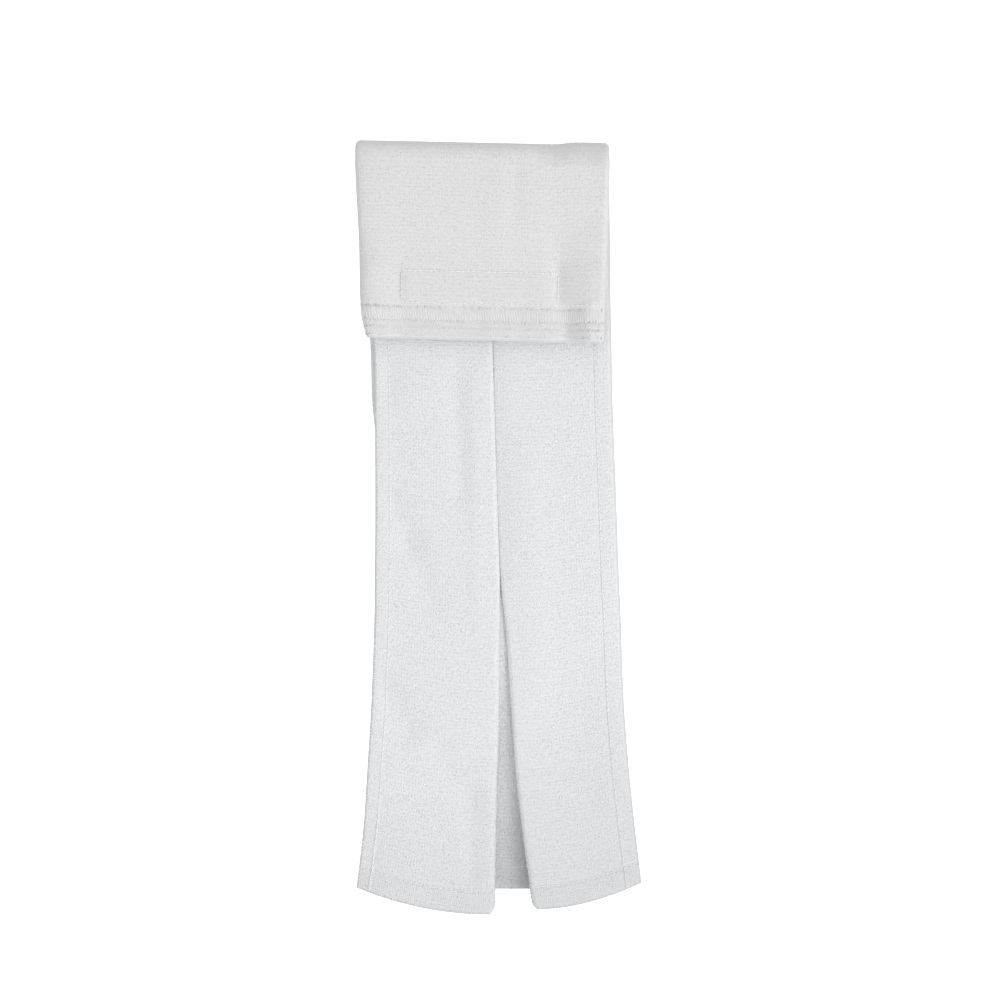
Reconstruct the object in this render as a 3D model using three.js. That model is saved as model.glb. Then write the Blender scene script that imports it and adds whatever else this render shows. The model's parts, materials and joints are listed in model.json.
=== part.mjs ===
// Sports towel for a belt, folded and lying on its back. Millimetres, +Z up, +X to the right, +Y towards
// the fold that takes the belt. The origin is under the middle of the towel, on the surface it lies on.
//
// The towel is one rectangle of terry cloth. It is folded lengthwise in an inverted box pleat, three layers
// deep: the back layer lies flat, each side is tucked in over it as a return, and comes back out as a front
// panel, so that the two side hems lie at the outer edges and two folds meet down the middle. The folded
// strip is then turned over at the top as a flap, with a tunnel for a belt inside the turn. A strip of hook
// tape is sewn under the flap.

import * as THREE from "three";

// The cloth
const CLOTH_THICKNESS = 1.8;
const LEFT_HEM_WIDTH = 5.9;
const RIGHT_HEM_WIDTH = 7.6;
const SIDE_HEM_EXTRA = 0.5;
const SIDE_HEM_STEP = 0.8;
const LAYER_PITCH = 2.5;
const STACK_HEIGHT = 2 * LAYER_PITCH + CLOTH_THICKNESS;
const BACK_LEVEL = CLOTH_THICKNESS / 2;
const RETURN_LEVEL = BACK_LEVEL + LAYER_PITCH;
const FRONT_LEVEL = RETURN_LEVEL + LAYER_PITCH;
const TUCK_RADIUS = LAYER_PITCH / 2;

// The turn at the top, round an axis along X that runs through the belt tunnel. Its line slopes a little.
const TUNNEL_HEIGHT = 7;
const TURN_RADIUS = STACK_HEIGHT + TUNNEL_HEIGHT / 2;
const TURN_Y = 145.63;
const TURN_SLOPE = -0.021;

// Where the cloth ends below. The layers on the inside of the turn have the shorter way round it, so the
// front panels reach lower than the back layer, and their side hems draw the outer corners up again.
const BACK_END_Y = -147.2;
const LEFT_END = { fold: -157.1, hem: -146.6, inFold: -150, power: 2 };
const RIGHT_END = { fold: -154.6, hem: -143.5, inFold: -149, power: 1.85 };

// Where the flap ends, at its left and right corners
const FLAP_END_LEFT_Y = 76.9;
const FLAP_END_RIGHT_Y = 74.5;
const FLAP_LEFT_X = -53;
const FLAP_RIGHT_X = 43;

// The soft folds down the middle are rounder where they stand higher.
const FOLD_RADIUS = TUCK_RADIUS;
const FOLD_RADIUS_PER_RISE = 0.05;

// Sections of the body from the turn down to the back layer's end: the X of each edge of the folded strip,
// and how far the middle folds and the side hems stand above their layer.
const EDGES = ["y", "hemL", "foldL", "tuckL", "tuckR", "foldR", "hemR"];
const BODY_SECTIONS = table([...EDGES, "riseL", "riseR", "hemLift"], [
  [147.0, -57.0, -2.6, -58.0, 45.0, -2.1, 44.0, 0.0, 0.0, 0.0],
  [112.0, -54.4, -2.6, -55.4, 45.6, -2.1, 44.6, 0.0, 0.0, 0.0],
  [76.0, -51.0, -2.6, -52.3, 45.7, -2.1, 44.9, 0.0, 0.0, 0.0],
  [52.0, -50.4, -1.9, -51.4, 46.1, -1.6, 45.5, 0.1, 0.1, 0.0],
  [11.0, -50.1, -0.6, -50.2, 47.3, -0.3, 46.9, 0.3, 0.4, 0.0],
  [-19.0, -50.3, 0.4, -50.0, 48.0, 1.2, 48.2, 0.6, 0.9, 0.0],
  [-37.6, -50.5, 0.5, -49.9, 48.4, 3.0, 49.3, 0.9, 1.4, 0.0],
  [-71.3, -51.7, 0.2, -49.7, 48.6, 5.3, 50.6, 1.4, 2.2, -0.2],
  [-96.4, -53.2, -0.5, -49.8, 48.8, 7.1, 52.4, 1.9, 3.0, -0.5],
  [-121.6, -54.9, -1.1, -50.0, 49.0, 10.1, 55.0, 2.4, 3.9, -0.9],
  [-147.2, -57.8, -1.6, -50.3, 49.4, 13.8, 57.8, 2.9, 4.9, -1.4],
]);

// Sections of the flap from the turn to its end: the same edges, and the height of its upper face. It falls
// from the turn to where the tape presses the flap flat.
const PRESSED_TOP = 15.5;
const FLAP_SECTIONS = table([...EDGES, "top"], [
  [147.0, -57.0, -2.6, -58.0, 45.0, -2.1, 44.0, 2 * TURN_RADIUS],
  [137.0, -56.0, -2.6, -57.2, 44.7, -2.1, 43.6, 20.4],
  [127.0, -55.2, -2.6, -56.4, 44.4, -2.1, 43.2, 19.5],
  [117.0, -54.7, -2.6, -55.9, 44.1, -2.1, 42.9, 17.6],
  [109.0, -54.5, -2.6, -55.7, 43.9, -2.1, 42.7, 16.0],
  [103.0, -54.4, -2.6, -55.6, 43.7, -2.1, 42.5, PRESSED_TOP],
  [92.0, -54.3, -2.6, -55.5, 43.4, -2.1, 42.2, PRESSED_TOP],
  [83.0, -53.4, -2.6, -54.6, 43.2, -2.1, 42.0, PRESSED_TOP],
  [75.0, -51.5, -2.6, -52.7, 43.0, -2.1, 41.8, PRESSED_TOP],
]);

// Hook tape, sewn flat under the flap between it and the front panels
const TAPE_LENGTH = 66;
const TAPE_WIDTH = 16;
const TAPE_THICKNESS = 1.2;
const TAPE_CORNER = 1;
const TAPE_X = -7.5;
const TAPE_Y = 97.1;
const TAPE_SEAT_GAP = 0.3;

// How finely the surfaces are cut
const STEPS = { panel: 6, fold: 5, run: 6, tuck: 4, back: 8 };
const BODY_ROWS_PER_SECTION = 2;
const TURN_ROWS = 8;
const FLAP_ROWS_PER_SECTION = 1;

const ease = (u) => THREE.MathUtils.smoothstep(u, 0, 1);
const lerp = THREE.MathUtils.lerp;

// A table's rows, each with its values under the names of the columns
function table(columns, rows) {
  return rows.map((row) => Object.fromEntries(columns.map((name, i) => [name, row[i]])));
}

// A column of a table of sections at height y, on a smooth curve through its rows
function column(sections, name, y) {
  const last = sections.length - 1;
  let i = 0;
  while (i < last - 1 && y < sections[i + 1].y) i += 1;
  const slopeAt = (k) => {
    const before = sections[Math.max(k - 1, 0)];
    const after = sections[Math.min(k + 1, last)];
    return (after[name] - before[name]) / (after.y - before.y);
  };
  const from = sections[i];
  const to = sections[i + 1];
  const span = to.y - from.y;
  const u = THREE.MathUtils.clamp((y - from.y) / span, 0, 1);
  const lean = (1 - u) * (1 - u) * u * slopeAt(i) - u * u * (1 - u) * slopeAt(i + 1);
  return lerp(from[name], to[name], ease(u)) + lean * span;
}

function sectionAt(sections, y) {
  const names = Object.keys(sections[0]).filter((name) => name !== "y");
  return Object.fromEntries(names.map((name) => [name, column(sections, name, y)]));
}

// Distances from the side hem over a front panel, with the step at the hem's stitching
function panelSteps(width, hemWidth) {
  const steps = [0, hemWidth];
  for (let i = 0; i <= STEPS.panel; i += 1) {
    steps.push(lerp(hemWidth + SIDE_HEM_STEP, width, i / STEPS.panel));
  }
  return steps;
}

// One side of the folded strip from its side hem, over the middle fold and the return, to the tuck at the
// outer edge. side is 1 for the left half, whose middle fold points to the right, and -1 for the right one.
// Each point has its place x and z, the Y where its thread ends below, and whether it is on the side hem.
function halfPath(hem, fold, tuck, rise, hemLift, end, hemWidth, side) {
  const radius = FOLD_RADIUS + FOLD_RADIUS_PER_RISE * rise;
  const foldTop = FRONT_LEVEL + rise;
  const returnTop = foldTop - 2 * radius;
  const foldStart = fold - side * (CLOTH_THICKNESS / 2 + radius);
  const tuckStart = tuck + side * (CLOTH_THICKNESS / 2 + TUCK_RADIUS);
  const points = [];

  const width = Math.abs(foldStart - hem);
  for (const fromHem of panelSteps(width, hemWidth)) {
    const u = fromHem / width;
    const droop = hemLift * (1 - ease(Math.min(fromHem / (1.5 * hemWidth), 1)));
    const endY = lerp(end.fold, end.hem, (1 - u) ** end.power);
    const onHem = fromHem <= hemWidth;
    points.push({ x: hem + side * fromHem, z: FRONT_LEVEL + rise * ease(u) + droop, endY, onHem });
  }
  for (let i = 1; i < STEPS.fold; i += 1) {
    const angle = (Math.PI * i) / STEPS.fold;
    points.push({
      x: foldStart + side * radius * Math.sin(angle),
      z: foldTop - radius + radius * Math.cos(angle),
      endY: lerp(end.fold, end.inFold, ease(i / STEPS.fold)),
    });
  }
  for (let i = 0; i <= STEPS.run; i += 1) {
    const u = i / STEPS.run;
    const z = lerp(returnTop, RETURN_LEVEL, ease(u));
    points.push({ x: lerp(foldStart, tuckStart, u), z, endY: lerp(end.inFold, BACK_END_Y, ease(u)) });
  }
  for (let i = 1; i < STEPS.tuck; i += 1) {
    const angle = (Math.PI * i) / STEPS.tuck;
    const x = tuckStart - side * TUCK_RADIUS * Math.sin(angle);
    points.push({ x, z: BACK_LEVEL + TUCK_RADIUS * (1 + Math.cos(angle)), endY: BACK_END_Y });
  }
  return points;
}

// The middle line of the whole section, from the left side hem to the right one
function sectionPath(section) {
  const { hemL, foldL, tuckL, tuckR, foldR, hemR, riseL = 0, riseR = 0, hemLift = 0 } = section;
  const left = halfPath(hemL, foldL, tuckL, riseL, hemLift, LEFT_END, LEFT_HEM_WIDTH, 1);
  const right = halfPath(hemR, foldR, tuckR, riseR, hemLift, RIGHT_END, RIGHT_HEM_WIDTH, -1);
  const inset = CLOTH_THICKNESS / 2 + TUCK_RADIUS;
  const back = [];
  for (let i = 0; i <= STEPS.back; i += 1) {
    back.push({ x: lerp(tuckL + inset, tuckR - inset, i / STEPS.back), z: BACK_LEVEL, endY: BACK_END_Y });
  }
  return [...left, ...back, ...right.reverse()];
}

// The section as a closed ring: the middle line set off to the pile side all the way, then back along the
// other side. The side hems are thicker, on the pile side.
function sectionRing(section) {
  const path = sectionPath(section);
  const normals = path.map((_, i) => {
    const before = path[Math.max(i - 1, 0)];
    const after = path[Math.min(i + 1, path.length - 1)];
    return new THREE.Vector2(before.z - after.z, after.x - before.x).normalize();
  });
  const offset = (p, normal, by) => ({ ...p, x: p.x + normal.x * by, z: p.z + normal.y * by });
  const hemExtra = ({ onHem }) => (onHem ? SIDE_HEM_EXTRA : 0);
  const pileSide = path.map((p, i) => offset(p, normals[i], CLOTH_THICKNESS / 2 + hemExtra(p)));
  const otherSide = path.map((p, i) => offset(p, normals[i], -CLOTH_THICKNESS / 2));
  return [...pileSide, ...otherSide.reverse()];
}

const turnLine = (x) => TURN_Y + TURN_SLOPE * x;

// A row of the body: each thread runs from the turn line down to its own end.
function bodyRow(share) {
  const y = lerp(BODY_SECTIONS[0].y, BACK_END_Y, share);
  return sectionRing(sectionAt(BODY_SECTIONS, y)).map(
    ({ x, z, endY }) => new THREE.Vector3(x, lerp(turnLine(x), endY, share), z),
  );
}

// A row of the turn, at an angle from the body to the flap
function turnRow(angle) {
  return sectionRing(sectionAt(BODY_SECTIONS, BODY_SECTIONS[0].y)).map(({ x, z }) => {
    const reach = TURN_RADIUS - z;
    return new THREE.Vector3(x, turnLine(x) + reach * Math.sin(angle), TURN_RADIUS - reach * Math.cos(angle));
  });
}

// A row of the flap, upside down over the body
function flapRow(share) {
  const y = lerp(FLAP_SECTIONS[0].y, FLAP_SECTIONS.at(-1).y, share);
  const section = sectionAt(FLAP_SECTIONS, y);
  return sectionRing(section).map(({ x, z }) => {
    const across = THREE.MathUtils.inverseLerp(FLAP_LEFT_X, FLAP_RIGHT_X, x);
    const endY = lerp(FLAP_END_LEFT_Y, FLAP_END_RIGHT_Y, THREE.MathUtils.clamp(across, 0, 1));
    return new THREE.Vector3(x, lerp(turnLine(x), endY, share), section.top - z);
  });
}

// Shares of the way along a table's length, with each space between its rows cut into equal steps
function shares(sections, steps) {
  const first = sections[0].y;
  const span = sections.at(-1).y - first;
  const found = [];
  for (let i = 0; i < sections.length - 1; i += 1) {
    for (let k = 0; k < steps; k += 1) {
      found.push((lerp(sections[i].y, sections[i + 1].y, k / steps) - first) / span);
    }
  }
  return [...found, 1];
}

// A closed skin over rings of equal length. Each end is shut by a band between the two sides of its ring.
function skinOver(rows) {
  const count = rows[0].length;
  const positions = rows.flat().flatMap((p) => p.toArray());
  const faces = [];
  for (let r = 0; r < rows.length - 1; r += 1) {
    for (let i = 0; i < count; i += 1) {
      const next = (i + 1) % count;
      const [a, b, c, d] = [r * count + i, r * count + next, (r + 1) * count + next, (r + 1) * count + i];
      faces.push(a, b, c, a, c, d);
    }
  }
  const shut = (start, flip) => {
    for (let i = 0; i < count / 2 - 1; i += 1) {
      const [a, b] = [start + i, start + i + 1];
      const [c, d] = [start + count - 2 - i, start + count - 1 - i];
      faces.push(...(flip ? [a, c, b, a, d, c] : [a, b, c, a, c, d]));
    }
  };
  shut(0, true);
  shut((rows.length - 1) * count, false);
  const geometry = new THREE.BufferGeometry();
  geometry.setAttribute("position", new THREE.Float32BufferAttribute(positions, 3));
  geometry.setIndex(faces);
  geometry.computeVertexNormals();
  return geometry;
}

function towelGeometry() {
  const body = shares(BODY_SECTIONS, BODY_ROWS_PER_SECTION).map(bodyRow).reverse();
  const turn = [];
  for (let i = 1; i < TURN_ROWS; i += 1) turn.push(turnRow((Math.PI * i) / TURN_ROWS));
  const flap = shares(FLAP_SECTIONS, FLAP_ROWS_PER_SECTION).map(flapRow);
  return skinOver([...body, ...turn, ...flap]);
}

// The tape, a flat strip with its corners rounded
function tapeGeometry() {
  const outline = new THREE.Shape();
  const halfLength = TAPE_LENGTH / 2;
  const halfWidth = TAPE_WIDTH / 2;
  outline.moveTo(-halfLength + TAPE_CORNER, -halfWidth);
  outline.lineTo(halfLength - TAPE_CORNER, -halfWidth);
  outline.absarc(halfLength - TAPE_CORNER, -halfWidth + TAPE_CORNER, TAPE_CORNER, -Math.PI / 2, 0);
  outline.absarc(halfLength - TAPE_CORNER, halfWidth - TAPE_CORNER, TAPE_CORNER, 0, Math.PI / 2);
  outline.absarc(-halfLength + TAPE_CORNER, halfWidth - TAPE_CORNER, TAPE_CORNER, Math.PI / 2, Math.PI);
  outline.absarc(-halfLength + TAPE_CORNER, -halfWidth + TAPE_CORNER, TAPE_CORNER, Math.PI, 1.5 * Math.PI);
  return new THREE.ExtrudeGeometry(outline, { depth: TAPE_THICKNESS, bevelEnabled: false, curveSegments: 4 });
}

const terry = new THREE.MeshStandardMaterial({ color: 0xf1f2f4, roughness: 0.95, metalness: 0 });
const nylon = new THREE.MeshStandardMaterial({ color: 0xe9e9e6, roughness: 0.6, metalness: 0 });

const towel = new THREE.Mesh(towelGeometry(), terry);
towel.name = "towel";

const tape = new THREE.Mesh(tapeGeometry(), nylon);
tape.name = "hook_tape";
tape.position.set(TAPE_X, TAPE_Y, PRESSED_TOP - STACK_HEIGHT - TAPE_SEAT_GAP - TAPE_THICKNESS);

const foldedTowel = new THREE.Group();
foldedTowel.name = "sports_towel";
foldedTowel.add(towel, tape);

export default foldedTowel;
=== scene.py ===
import json
import logging
import math
from dataclasses import dataclass, fields
from enum import IntEnum
from typing import NamedTuple, Sequence

import bpy
import numpy as np
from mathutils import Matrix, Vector

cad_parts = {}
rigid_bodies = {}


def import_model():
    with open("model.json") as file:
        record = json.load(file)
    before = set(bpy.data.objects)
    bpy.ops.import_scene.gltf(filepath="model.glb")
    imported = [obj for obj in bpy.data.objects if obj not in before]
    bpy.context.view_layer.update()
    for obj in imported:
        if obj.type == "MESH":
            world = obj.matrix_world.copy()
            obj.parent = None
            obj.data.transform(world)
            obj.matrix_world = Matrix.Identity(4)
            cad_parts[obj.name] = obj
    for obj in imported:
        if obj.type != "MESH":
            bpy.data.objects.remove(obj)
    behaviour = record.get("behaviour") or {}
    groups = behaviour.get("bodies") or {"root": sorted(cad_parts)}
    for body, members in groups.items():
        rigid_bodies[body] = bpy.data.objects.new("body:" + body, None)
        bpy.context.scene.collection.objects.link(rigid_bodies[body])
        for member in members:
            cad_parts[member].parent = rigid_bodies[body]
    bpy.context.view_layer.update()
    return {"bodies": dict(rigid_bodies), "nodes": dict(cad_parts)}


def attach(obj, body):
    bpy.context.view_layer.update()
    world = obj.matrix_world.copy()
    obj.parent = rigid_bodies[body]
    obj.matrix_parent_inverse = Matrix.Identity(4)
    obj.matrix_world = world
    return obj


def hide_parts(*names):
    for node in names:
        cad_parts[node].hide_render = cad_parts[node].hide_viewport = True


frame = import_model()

# A towel worn on a belt: one sheet of white terry, folded lengthwise in an inverted box pleat, turned over at
# the top as a flap with a tunnel for the belt, and lying on its back. The fine sheet, its pile, its hems and
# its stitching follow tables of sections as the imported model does, in millimetres until a mesh is made.

Array = np.ndarray
Grids = dict[str, Array]
Node = bpy.types.Node
Socket = bpy.types.NodeSocket
Piece = bpy.types.Object
Pair = tuple[float, float]
Colour = tuple[float, float, float]
MM = 0.001
LOG = logging.getLogger("sports_towel")


def lerp(a: Array | float, b: Array | float, u: Array | float) -> Array:
    """The value a share u of the way from a to b."""
    return a + (b - a) * u


def ease(u: Array | float) -> Array:
    """A share from 0 to 1 that starts and ends gently."""
    u = np.clip(u, 0.0, 1.0)
    return u * u * (3.0 - 2.0 * u)


def unit(vectors: Array) -> Array:
    """The vectors at length 1."""
    return vectors / np.linalg.norm(vectors, axis=-1, keepdims=True)


@dataclass(frozen=True)
class Fade:
    """A share that grows gently from 0 at its start to 1 a stretch on, or falls where that is negative."""

    start: float
    stretch: float

    def at(self, value: Array) -> Array:
        """The share at each value."""
        return ease((value - self.start) / self.stretch)


class SmoothTable:
    """A table with named columns, read on smooth curves through its rows."""

    def __init__(self, columns: Sequence[str], rows: Sequence[Sequence[float]]) -> None:
        """Keeps the columns. The rows go from the highest to the lowest of the first column, the key."""
        self.values = dict(zip(columns, np.array(rows, dtype=float).T))
        self.key = self.values[columns[0]]

    def read(self, name: str, key: Array) -> Array:
        """A column on a smooth curve.

        Args:
            name: The column.
            key: Where it is read.

        Returns:
            The column's value at each key.
        """
        values, rows = self.values[name], np.arange(len(self.key))
        before, after = np.maximum(rows - 1, 0), np.minimum(rows + 1, len(rows) - 1)
        slopes = (values[after] - values[before]) / (self.key[after] - self.key[before])
        i = np.clip(np.searchsorted(-self.key, -key) - 1, 0, len(rows) - 2)
        span = self.key[i + 1] - self.key[i]
        u = np.clip((key - self.key[i]) / span, 0.0, 1.0)
        lean = (1 - u) ** 2 * u * slopes[i] - u**2 * (1 - u) * slopes[i + 1]
        return lerp(values[i], values[i + 1], ease(u)) + lean * span


class ThreadEnd(NamedTuple):
    """Where the threads of one front panel end below: at the fold, at the side hem and inside the fold."""

    fold: float
    hem: float
    in_fold: float
    power: float


@dataclass(frozen=True)
class Crease:
    """A soft ridge along a line on the cloth, or a trough where its height is negative."""

    x: float
    y: float
    end_x: float
    end_y: float
    width: float
    height: float

    def lift(self, x: Array, y: Array) -> Array:
        """How far it lifts the cloth.

        Args:
            x: Places across the towel.
            y: Places along it.

        Returns:
            The lift at each place.
        """
        dx, dy = self.end_x - self.x, self.end_y - self.y
        t = np.clip(((x - self.x) * dx + (y - self.y) * dy) / (dx * dx + dy * dy), 0.0, 1.0)
        gap = (x - self.x - t * dx) ** 2 + (y - self.y - t * dy) ** 2
        return self.height * np.exp(-gap / self.width**2)


@dataclass(frozen=True)
class Patch:
    """The rectangle that is stitched down over the tape, just above the flap's band."""

    left: float = -39.2
    right: float = 24.0
    height: float = 13.1
    raised: float = 0.45
    edge: float = 1.6
    groove: float = 0.05
    groove_width: float = 0.45

    def inside(self, x: Array, above: Array) -> Array:
        """How far each x and distance above the band's stitching lies inside the rectangle."""
        return np.minimum(np.minimum(x - self.left, self.right - x), np.minimum(above, self.height - above))

    def lift(self, x: Array, above: Array) -> Array:
        """How far the tape lifts the cloth there, and its stitching draws it in."""
        gap = self.inside(x, above)
        return self.raised * ease(gap / self.edge) - self.groove * np.exp(-((gap / self.groove_width) ** 2))


class Run(IntEnum):
    """The runs of the folded section, from a side hem inwards."""

    FRONT = 0
    FOLD = 1
    RETURN = 2
    TUCK = 3
    BACK = 4


class Part(IntEnum):
    """The parts of the strip's length."""

    BODY = 0
    TURN = 1
    FLAP = 2


class Weave(IntEnum):
    """How a stretch of the cloth is woven or turned. Each has a finish of its own."""

    PILE = 0
    REVERSE = 1
    # The back layer, whose finishes carry painted shade in the gap between the folds.
    INNER = 2
    SIDE_HEM = 3
    END_HEM = 4
    BAND = 5
    # The cloth's rounded edges, coloured darker: painted shade where they turn away from the light.
    RIM = 6


class Counts(NamedTuple):
    """How many rows and columns the stretches of the sheet's grid have."""

    hem: int = 10
    body: int = 112
    turn: int = 26
    flap: int = 44
    band: int = 10
    front: int = 28
    fold: int = 11
    back: int = 14
    tuck: int = 9


BODY_SECTIONS = SmoothTable(
    ("y", "hem_l", "fold_l", "tuck_l", "tuck_r", "fold_r", "hem_r", "rise_l", "rise_r", "hem_lift"),
    (
        (147, -57, -2.6, -58, 45, -2.1, 44, 0, 0, 0),
        (112, -54.4, -2.6, -55.4, 45.6, -2.1, 45.1, 0, 0, 0),
        (76, -51, -2.6, -52.3, 45.7, -2.1, 46, 0, 0, 0),
        (52, -50.4, -1.9, -51.6, 46.1, -1.6, 46.4, 0.1, 0.1, 0),
        (11, -50.1, -0.6, -50.2, 47.3, -0.3, 47.9, 0.3, 0.4, 0),
        (-19, -50.3, 0.4, -50, 48, 1.2, 48.9, 0.6, 0.9, 0),
        (-37.6, -50.5, 0.5, -49.9, 48.4, 3, 49.7, 0.9, 1.4, 0),
        (-71.3, -51.7, 0.2, -49.7, 48.6, 5.3, 50.9, 1.4, 2.2, -0.2),
        (-96.4, -53.2, -0.5, -49.8, 48.8, 7.1, 52.7, 1.9, 3, -0.5),
        (-121.6, -54.9, -1.1, -50, 49, 10.1, 55.2, 2.4, 3.9, -0.9),
        (-147.2, -57.8, -1.6, -50.3, 49.4, 13.8, 58.2, 2.9, 4.9, -1.4),
    ),
)
FLAP_SECTIONS = SmoothTable(
    ("y", "hem_l", "tuck_l", "tuck_r", "hem_r", "top"),
    (
        (147, -57, -58, 45, 44, 20.6),
        (137, -56.4, -57.6, 44.7, 43.6, 20.4),
        (127, -55.8, -57, 44.4, 43.2, 19.5),
        (117, -55.4, -56.6, 44.1, 42.9, 17.6),
        (109, -55.2, -56.4, 43.9, 42.7, 16),
        (103, -55.1, -56.3, 43.7, 42.5, 15.5),
        (92, -54.9, -56.1, 43.2, 42, 15.5),
        (83, -54, -55.2, 42.8, 41.6, 15.5),
        (75, -51.9, -53.1, 42.6, 41.4, 15.5),
    ),
)
FLAP_RELIEF = SmoothTable(
    ("x", "crest", "top", "above", "patch", "band"),
    (
        (44, 0.3, 1.1, 4, 5.2, 3.7),
        (41.5, 0.2, 0.7, 3.7, 4.9, 4.4),
        (39, 0, 0.4, 3.3, 4.5, 4.75),
        (36.5, 0, 0.3, 2.8, 3.9, 4.7),
        (33, 0, 0.2, 1.9, 2.7, 2.6),
        (29, 0, 0, 0.8, 1.1, 0.1),
        (26.5, 0, -0.1, 0.1, -0.2, -0.5),
        (24.2, 0, -0.1, -0.3, -1.5, -0.2),
        (21.5, 0, 0, -0.2, -0.5, 0.5),
        (19, 0, 0.1, 0, 0.1, 0.7),
        (14, 0, 0.3, 0.15, 0.1, 0.4),
        (11, 0, 0.3, 0.1, 0, 0.1),
        (7, 0, -0.1, 0, 0, 0),
        (4, 0, 0.2, 0.1, 0, 0.35),
        (1, 0.1, 0.55, 0.3, 0, 0.15),
        (-3, 0, 0.35, 0.2, 0, 0.3),
        (-8.5, 0, 0, 0, 0, -0.1),
        (-31.5, 0, 0.1, 0, 0, 0.3),
        (-37.6, 0, 0.1, 0, 0, 0),
        (-39.6, 0, 0.15, 0.15, -0.5, 0.05),
        (-41.5, 0, 0.2, 0.35, 0.05, 0.4),
        (-44.5, 0, 0.3, 0.6, 0.9, 1.2),
        (-48, 0, 0.4, 0.8, 1.6, 2.1),
        (-52, -0.2, 0.3, 0.3, 1.7, 2.3),
        (-54, -0.4, 0.1, -0.5, 1, 1.4),
        (-56, -0.9, -0.5, -1.9, -1, -1),
        (-58.5, -2.3, -2.4, -4.5, -4, -3.5),
    ),
)
LEFT_CREASES = (
    Crease(-44.5, 14, -36, -6, width=6, height=-1.1),
    Crease(-36, -6, -27.5, -30, width=6, height=-1.05),
    Crease(-48, -62, -36, -82, width=6, height=-1.2),
    Crease(-24.5, -92, -12, -108, width=5, height=-0.95),
    Crease(-11, -110, -10.5, -140, width=4.5, height=-0.8),
    Crease(-17.5, 62, -15.5, 14, width=4.5, height=-0.85),
    Crease(-45, 64, -44, 54, width=4, height=-0.8),
    Crease(-9.5, 62, -7.5, -40, width=4, height=0.5),
    Crease(-60, -152, -54, -124, width=12, height=-2.2),
)
RIGHT_CREASES = (
    Crease(-2, 72, 1.5, -20, width=3.6, height=-0.9),
    Crease(13, 30, 15, -70, width=7, height=0.7),
    Crease(40, -20, 48, -110, width=8, height=0.5),
)


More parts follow.
